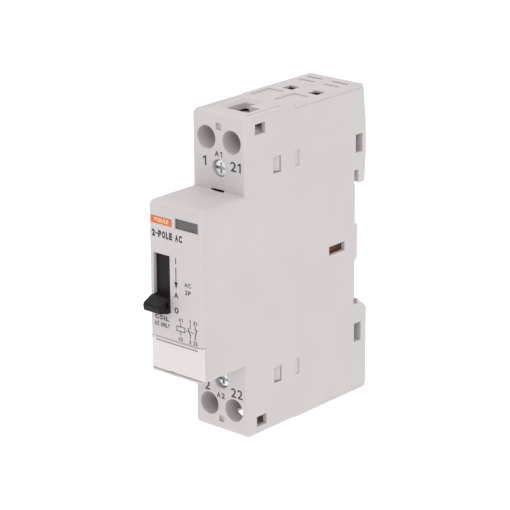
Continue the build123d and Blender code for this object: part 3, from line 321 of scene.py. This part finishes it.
FINISHES = {
    "housing_plastic": moulded("housing_plastic", (0.595, 0.552, 0.553), 0.46),
    "label_plastic": moulded("label_plastic", (0.72, 0.672, 0.668), 0.36, depth=0.002 * MM),
    "badge_orange": moulded("badge_orange", (0.66, 0.15, 0.028), 0.4, depth=0.002 * MM),
    # The black parts' edges are lightened strongly: rubbed wear and a painted highlight.
    "lever_black": moulded("lever_black", (0.0115, 0.0098, 0.0095), 0.5, edge_wear_and_highlight_tone=3.0, gloss=0.22),
    "guide_black": moulded("guide_black", (0.02, 0.02, 0.021), 0.5, edge_wear_and_highlight_tone=1.6, gloss=0.3),
    "flag_plastic": moulded("flag_plastic", (0.50, 0.03, 0.02), 0.42),
    "carrier_plastic": moulded("carrier_plastic", (0.055, 0.055, 0.06), 0.52, grain=0.5 * MM),
    "bobbin_plastic": moulded("bobbin_plastic", (0.12, 0.105, 0.09), 0.5),
    "component_body": moulded("component_body", (0.03, 0.03, 0.032), 0.45),
    "varistor_blue": moulded("varistor_blue", (0.03, 0.07, 0.25), 0.25, grain=0.9 * MM, depth=0.02 * MM),
    "lead_sleeve": moulded("lead_sleeve", (0.03, 0.03, 0.03), 0.42),
    "lens_grey": smoked("lens_grey", (0.15, 0.142, 0.15), 0.2),
    "card_paper": paper("card_paper", (0.82, 0.81, 0.78), 0.8),
    "board_epoxy": board("board_epoxy", (0.02, 0.12, 0.045), 0.3),
    "zinc_steel": plated("zinc_steel", (0.55, 0.58, 0.55), 0.30),
    "spring_steel": plated("spring_steel", (0.50, 0.49, 0.48), 0.28),
    "core_steel": laminated("core_steel", (0.20, 0.19, 0.185), 0.42),
    "copper_strip": rolled("copper_strip", (0.80, 0.38, 0.22), 0.30),
    "contact_silver": rolled("contact_silver", (0.82, 0.80, 0.76), 0.26),
    "coil_wire": wound("coil_wire", (0.50, 0.17, 0.055), 0.32),
}
SCREW_FINISH = turned("screw_zinc", (0.70, 0.73, 0.73), 0.18)
INK = ink("print_grey", (0.022, 0.022, 0.026))
PALE_INK = ink("print_pale", (0.86, 0.52, 0.36))


def dress(piece, finish):
    """Puts one finish on a piece, in place of those it came with."""
    piece.data.materials.clear()
    piece.data.materials.append(finish)


for part in frame["record"]["subparts"]:
    name = part["node"]
    is_screw = "_screw_" in name
    dress(NODES[name], SCREW_FINISH if is_screw else FINISHES[part["material_slot"]])


# --- Mesh helpers -------------------------------------------------------------------------
def new_piece(name, mesh, body, finish):
    """A finished mesh as a piece that rides on a body."""
    piece = bpy.data.objects.new(name, mesh)
    bpy.context.scene.collection.objects.link(piece)
    dress(piece, finish)
    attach(piece, body)
    return piece


INK_LAYER = 0.02 * MM          # how far print stands out
INK_ROOT = 0.01 * MM           # and how deep it reaches in


def add_flat(mesh, outline, surface_y):
    """An outline in X and Z, as a thin solid on a face at surface_y that looks to the front."""
    front = [mesh.verts.new((x, surface_y - INK_LAYER, z)) for x, z in outline]
    back = [mesh.verts.new((x, surface_y + INK_ROOT, z)) for x, z in outline]
    count = len(outline)
    mesh.faces.new(front)
    mesh.faces.new(back[::-1])
    for i in range(count):
        j = (i + 1) % count
        mesh.faces.new((front[j], front[i], back[i], back[j]))


def add_stroke(mesh, start, end, width, surface_y):
    """A straight printed line between two (x, z) points."""
    a, b = Vector(start), Vector(end)
    along = (b - a).normalized()
    side = Vector((-along.y, along.x)) * width / 2
    a, b = a - along * width / 2, b + along * width / 2
    add_flat(mesh, [a + side, b + side, b - side, a - side], surface_y)


# Shares of the height of the figure 1: its stem's width, and how far down its flag reaches.
ONE_STEM = 0.19
ONE_FLAG_TOP = 0.2
ONE_FLAG_TIP = 0.36
ONE_FLAG_ROOT = 0.22


def add_one(mesh, x_span, z_span, surface_y):
    """The figure 1 with its flag."""
    (left, right), (low, high) = x_span, z_span
    tall = high - low
    stem = right - ONE_STEM * tall
    add_flat(mesh, [(right, low), (right, high), (stem, high), (left, high - ONE_FLAG_TOP * tall),
                    (left, high - ONE_FLAG_TIP * tall), (stem, high - ONE_FLAG_ROOT * tall),
                    (stem, low)], surface_y)


def add_letter(mesh, letter, x_span, z_span, surface_y, weight):
    """One letter of the default font, fitted to a rectangle."""
    curve = bpy.data.curves.new("letter", "FONT")
    curve.body = letter
    curve.offset = weight
    curve.extrude = 0.5        # a thickness of 1, which the fit below scales to the ink's
    text = bpy.data.objects.new("letter", curve)
    bpy.context.scene.collection.objects.link(text)
    solid = bpy.data.meshes.new_from_object(text)
    low = Vector(min(v.co[i] for v in solid.vertices) for i in range(3))
    high = Vector(max(v.co[i] for v in solid.vertices) for i in range(3))
    wide, tall = x_span[1] - x_span[0], z_span[1] - z_span[0]
    place = (Matrix.Translation((sum(x_span) / 2, surface_y + (INK_ROOT - INK_LAYER) / 2,
                                 sum(z_span) / 2))
             @ Matrix.Rotation(pi / 2, 4, "X")
             @ Matrix.Diagonal((wide / (high.x - low.x), tall / (high.y - low.y),
                                INK_LAYER + INK_ROOT, 1))
             @ Matrix.Translation(-(low + high) / 2))
    solid.transform(place)
    mesh.from_mesh(solid)
    bpy.data.objects.remove(text)
    bpy.data.curves.remove(curve)
    bpy.data.meshes.remove(solid)


# Widths of the narrow letters and of the gap between letters, as shares of a usual letter.
LETTER_WIDTHS = {"1": 0.55, "I": 0.25, " ": 0.45, "-": 0.6, "L": 0.85}
LETTER_GAP = 0.22
DASH_WEIGHT = 0.16             # of the height
THIN, PLAIN, FIRM, BOLD, HEAVY = 0.012, 0.02, 0.03, 0.045, 0.06   # how far strokes are thickened


def add_text(mesh, words, x_span, z_span, surface_y, weight=PLAIN):
    """Capitals and figures that fill a rectangle, given in millimetres."""
    (left, right), (low, high) = (tuple(part * MM for part in span) for span in (x_span, z_span))
    shares = [LETTER_WIDTHS.get(letter, 1.0) for letter in words]
    unit = (right - left) / (sum(shares) + LETTER_GAP * (len(words) - 1))
    for letter, share in zip(words, shares):
        span = (left, left + share * unit)
        if letter == "1":
            add_one(mesh, span, (low, high), surface_y)
        elif letter == "I":
            add_flat(mesh, [(span[0], low), (span[1], low), (span[1], high), (span[0], high)],
                     surface_y)
        elif letter == "-":
            middle = (low + high) / 2
            add_stroke(mesh, (span[0], middle), (span[1], middle), DASH_WEIGHT * (high - low),
                       surface_y)
        elif letter != " ":
            add_letter(mesh, letter, span, (low, high), surface_y, weight)
        left += (share + LETTER_GAP) * unit


def printed(name, marks, finish=INK):
    """A group of printed marks on the housing; marks(mesh) adds them."""
    mesh = bmesh.new()
    marks(mesh)
    bmesh.ops.remove_doubles(mesh, verts=mesh.verts, dist=1e-7)
    bmesh.ops.recalc_face_normals(mesh, faces=mesh.faces)
    data = bpy.data.meshes.new(name)
    mesh.to_mesh(data)
    mesh.free()
    return new_piece(name, data, "root", finish)


# --- Printed marks ------------------------------------------------------------------------
FRONT_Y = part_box("front_housing")[0].y
SHOULDER_Y = -43.5 * MM
FINE_LINE = 0.2 * MM
MIDDLE_LINE = 0.24 * MM
BOLD_LINE = 0.28 * MM
LINK_DASH = 0.3                # length of each dash of the diagram's link, in millimetres
LABEL_HALF = 0.5               # half the height of the diagram's figures, in millimetres


def upper_marks(mesh):
    """Terminal numbers on the upper shoulder."""
    add_text(mesh, "1", (-5.3, -4.2), (28.4, 30.9), SHOULDER_Y)
    add_text(mesh, "21", (3.9, 7.3), (28.4, 30.9), SHOULDER_Y, THIN)
    add_text(mesh, "A1", (-1.3, 1.15), (31.35, 32.8), SHOULDER_Y)


def lower_marks(mesh):
    """Terminal numbers on the lower shoulder."""
    add_text(mesh, "2", (-5.7, -3.9), (-32.15, -29.65), SHOULDER_Y, THIN)
    add_text(mesh, "22", (3.35, 7.25), (-32.15, -29.65), SHOULDER_Y, THIN)
    add_text(mesh, "A2", (-1.55, 1.2), (-33.45, -31.95), SHOULDER_Y)


def switch_marks(mesh):
    """Positions of the selector lever: I, an arrow down, A and 0. Plain words beside and below."""
    x = 0.15 * MM
    add_text(mesh, "I", (0.02, 0.28), (7.45, 9.05), FRONT_Y)
    add_stroke(mesh, (x, 2.4 * MM), (x, 6.5 * MM), 0.26 * MM, FRONT_Y)
    add_flat(mesh, [(x - 0.6 * MM, 2.7 * MM), (x, 0.9 * MM), (x + 0.6 * MM, 2.7 * MM)], FRONT_Y)
    add_text(mesh, "A", (-0.55, 0.85), (-1.45, 0.0), FRONT_Y, FIRM)
    add_text(mesh, "0", (-0.5, 0.85), (-5.55, -3.95), FRONT_Y)
    add_text(mesh, "AC", (3.0, 5.2), (2.15, 3.3), FRONT_Y)
    add_text(mesh, "2P", (3.1, 5.1), (0.15, 1.3), FRONT_Y)
    add_text(mesh, "COIL", (-7.2, -2.5), (-8.35, -7.2), FRONT_Y, BOLD)
    add_text(mesh, "AC ONLY", (-7.4, -2.2), (-10.15, -9.0), FRONT_Y, BOLD)


def diagram_marks(mesh):
    """Wiring diagram: the coil's rectangle, a make contact, a break contact and their link."""
    low, high = Vector((0.15, -10.0)) * MM, Vector((2.86, -8.8)) * MM
    corners = [(low.x, low.y), (high.x, low.y), (high.x, high.y), (low.x, high.y)]
    for start, end in zip(corners, corners[1:] + corners[:1]):
        add_stroke(mesh, start, end, FINE_LINE, FRONT_Y)
    middle = (low.x + high.x) / 2
    add_stroke(mesh, (middle, high.y), (middle, -7.8 * MM), FINE_LINE, FRONT_Y)
    add_stroke(mesh, (middle, low.y), (middle, -10.9 * MM), FINE_LINE, FRONT_Y)
    link_z = (low.y + high.y) / 2
    for x, lean in ((4.7 * MM, -0.75 * MM), (6.35 * MM, 0.55 * MM)):
        add_stroke(mesh, (x, -7.6 * MM), (x, -8.5 * MM), MIDDLE_LINE, FRONT_Y)
        add_stroke(mesh, (x, -10.2 * MM), (x, -11.2 * MM), MIDDLE_LINE, FRONT_Y)
        add_stroke(mesh, (x, -10.2 * MM), (x + lean, -8.6 * MM), BOLD_LINE, FRONT_Y)
    add_stroke(mesh, (6.35 * MM, -8.5 * MM), (6.95 * MM, -8.5 * MM), FINE_LINE, FRONT_Y)
    for start in (3.2, 3.85, 4.9, 5.55):
        add_stroke(mesh, (start * MM, link_z), ((start + LINK_DASH) * MM, link_z), FINE_LINE, FRONT_Y)
    # Each label's word, its middle and half its width.
    for words, x, z, half in (("A1", 1.5, -6.95, 0.65), ("A2", 1.45, -12.0, 0.7),
                              ("1", 4.65, -6.75, 0.22), ("21", 6.4, -6.75, 0.65),
                              ("2", 4.65, -12.1, 0.35), ("22", 6.35, -12.1, 0.7)):
        add_text(mesh, words, (x - half, x + half), (z - LABEL_HALF, z + LABEL_HALF), FRONT_Y, FIRM)


def type_marks(mesh):
    """A plain description where the maker's type line would stand."""
    add_text(mesh, "2-POLE AC", (-7.75, 2.4), (13.35, 15.2), FRONT_Y, HEAVY)


def badge_marks(mesh):
    """A plain word on the badge."""
    badge_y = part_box("badge_plate")[0].y
    add_text(mesh, "MODULE", (-6.9, -2.1), (17.3, 18.35), badge_y, FIRM)


printed("print_upper_terminals", upper_marks)
printed("print_lower_terminals", lower_marks)
printed("print_selector", switch_marks)
printed("print_diagram", diagram_marks)
printed("print_type_line", type_marks)
printed("print_badge", badge_marks, PALE_INK)


def window_frame():
    """The raised line round the flag's window, a flat bar on each of its four sides."""
    low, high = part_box("indicator_window")
    width, rise = 0.16 * MM, 0.05 * MM
    mesh = bmesh.new()
    for x_span, z_span in (((low.x - width, high.x + width), (low.z - width, low.z)),
                           ((low.x - width, high.x + width), (high.z, high.z + width)),
                           ((low.x - width, low.x), (low.z, high.z)),
                           ((high.x, high.x + width), (low.z, high.z))):
        made = bmesh.ops.create_cube(mesh, size=1.0)["verts"]
        centre = (sum(x_span) / 2, FRONT_Y, sum(z_span) / 2)
        size = (x_span[1] - x_span[0], 2 * rise, z_span[1] - z_span[0])
        bmesh.ops.transform(mesh, verts=made, matrix=Matrix.Translation(centre)
                            @ Matrix.Diagonal((*size, 1)))
    data = bpy.data.meshes.new("window_frame")
    mesh.to_mesh(data)
    mesh.free()
    new_piece("window_frame", data, "root", FINISHES["housing_plastic"])


window_frame()


# --- Coil springs -------------------------------------------------------------------------
SPRING_STEPS = 28              # rings of points in each turn
SPRING_RING = 8                # points round the wire
CLOSED_PITCH = 1.04            # of the closed end turns, in wire diameters
RETURN_RADIUS, RETURN_WIRE, RETURN_TURNS = 1.9 * MM, 0.25 * MM, 6
CONTACT_RADIUS, CONTACT_WIRE, CONTACT_TURNS = 1.7 * MM, 0.2 * MM, 4


def add_spring(mesh, x, z, radius, wire, low_y, high_y, turns):
    """A compression spring along Y, its first and last turn closed up and its ends capped.

    radius is the coil's outer radius, wire the wire's own, and turns the open turns.
    """
    count = SPRING_STEPS * (turns + 2)
    pitch = 2 * wire * CLOSED_PITCH
    rows = []
    for i in range(count + 1):
        turn = i / SPRING_STEPS
        open_share = min(max((turn - 1) / turns, 0), 1)
        closed = min(turn, 1) + max(turn - 1 - turns, 0)
        y = low_y + wire + closed * pitch + open_share * (high_y - low_y - 2 * wire - 2 * pitch)
        angle = 2 * pi * turn
        row = []
        for k in range(SPRING_RING):
            turned_by = 2 * pi * k / SPRING_RING
            r = radius - wire + wire * cos(turned_by)
            row.append(mesh.verts.new((x + r * cos(angle), y + wire * sin(turned_by),
                                       z + r * sin(angle))))
        rows.append(row)
    for a, b in zip(rows, rows[1:]):
        for k in range(SPRING_RING):
            m = (k + 1) % SPRING_RING
            mesh.faces.new((a[k], a[m], b[m], b[k]))
    mesh.faces.new(rows[0][::-1])
    mesh.faces.new(rows[-1])


def spring_piece(name, node, body, places, radius, wire, span, turns):
    """One or more springs in place of a node's sleeves, which it hides; the springs ride on one body and
    do not shorten as a joint moves.
    """
    mesh = bmesh.new()
    for x, z in places:
        add_spring(mesh, x, z, radius, wire, *span, turns)
    bmesh.ops.recalc_face_normals(mesh, faces=mesh.faces)
    data = bpy.data.meshes.new(name)
    mesh.to_mesh(data)
    mesh.free()
    data.shade_smooth()
    piece = new_piece(name, data, body, FINISHES["spring_steel"])
    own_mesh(piece)
    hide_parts(node)


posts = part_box("return_springs")
foot_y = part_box("armature")[0].y
return_z = posts[1].z - RETURN_RADIUS
spring_piece("return_spring_coils", "return_springs", "root", ((0, return_z), (0, -return_z)),
             RETURN_RADIUS, RETURN_WIRE, (foot_y, posts[1].y), RETURN_TURNS)
for side, tag in ((-1, "no"), (1, "nc")):
    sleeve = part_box(f"contact_spring_{tag}")
    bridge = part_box(f"bridge_{tag}")
    span = (sleeve[0].y, bridge[0].y) if side < 0 else (bridge[1].y, sleeve[1].y)
    middle = (sleeve[0] + sleeve[1]) / 2
    spring_piece(f"contact_spring_coil_{tag}", f"contact_spring_{tag}", "carrier",
                 ((middle.x, middle.z),), CONTACT_RADIUS, CONTACT_WIRE, span, CONTACT_TURNS)


# --- Stage --------------------------------------------------------------------------------
FLOOR_DROP = 60 * MM           # the part hangs clear of the floor, so that no shadow shows
FLOOR_RADIUS = 4.0
FLOOR_GLOW = 0.26              # lifts the floor to plain white
HORIZON_BAND = (0.05, 0.55)    # heights of the sky between which it brightens


def make_floor():
    """A pale floor under the part, bright enough to be the whole background."""
    bpy.ops.mesh.primitive_circle_add(vertices=96, radius=FLOOR_RADIUS, fill_type="NGON",
                                      location=(0, 0, CAD_BOX[0].z - FLOOR_DROP))
    floor = bpy.context.object
    floor.name = "floor"
    finish = Finish("floor_white", (0.88, 0.88, 0.88), 0.8)
    finish.shader.inputs["Emission Color"].default_value = (1, 1, 1, 1)
    finish.shader.inputs["Emission Strength"].default_value = FLOOR_GLOW
    dress(floor, finish.material)


def soft_light(name, azimuth, elevation, distance, size, power):
    """A square soft box that looks at the part; azimuth 0 is in front, 90 on the +X side."""
    data = bpy.data.lights.new(name, "AREA")
    data.shape = "SQUARE"
    data.size = size
    data.energy = power
    light = bpy.data.objects.new(name, data)
    a, e = radians(azimuth), radians(elevation)
    towards = Vector((sin(a) * cos(e), -cos(a) * cos(e), sin(e)))
    target = (CAD_BOX[0] + CAD_BOX[1]) / 2
    light.location = target + towards * distance
    light.rotation_euler = towards.to_track_quat("Z", "Y").to_euler()
    bpy.context.scene.collection.objects.link(light)


def make_world(high, low):
    """A studio that is bright overhead and dimmer near the horizon, which metal shows."""
    world = bpy.data.worlds.new("studio")
    world.use_nodes = True
    nodes, links = world.node_tree.nodes, world.node_tree.links
    coordinates = nodes.new("ShaderNodeTexCoord")
    parts = nodes.new("ShaderNodeSeparateXYZ")
    links.new(coordinates.outputs["Generated"], parts.inputs["Vector"])
    strength = map_range(world.node_tree, parts.outputs["Z"], HORIZON_BAND, (low, high))
    background = nodes["Background"]
    background.inputs["Color"].default_value = (1, 1, 1, 1)
    links.new(strength, background.inputs["Strength"])
    bpy.context.scene.world = world


def make_camera():
    """The camera's place round the part: its angles, its distance and what it looks at."""
    azimuth, elevation, roll = radians(41.14), radians(18.70), radians(-0.38)
    distance = 635.28 * MM
    aside, above, behind = 20.16 * MM, 5.61 * MM, 0.7 * MM
    back = Vector((sin(azimuth) * cos(elevation), -cos(azimuth) * cos(elevation), sin(elevation)))
    level = (-back).cross(Vector((0, 0, 1))).normalized()
    upward = level.cross(-back)
    right = cos(roll) * level + sin(roll) * upward
    up = cos(roll) * upward - sin(roll) * level
    data = bpy.data.cameras.new("camera")
    data.sensor_width = 36.0
    data.lens = 168.25
    data.clip_start, data.clip_end = 0.01, 20.0
    camera = bpy.data.objects.new("camera", data)
    place = back * distance - right * aside - up * above + Vector((0, behind, 0))
    turn = Matrix((right, up, back)).transposed().to_4x4()
    camera.matrix_world = Matrix.Translation(place) @ turn
    bpy.context.scene.collection.objects.link(camera)
    bpy.context.scene.camera = camera


make_floor()
make_world(high=1.12, low=0.3)
soft_light("key", azimuth=46, elevation=38, distance=1.2, size=0.6, power=2.3)
soft_light("front_fill", azimuth=-20, elevation=30, distance=1.3, size=0.8, power=0.3)
make_camera()
bpy.context.scene.view_settings.view_transform = "Standard"
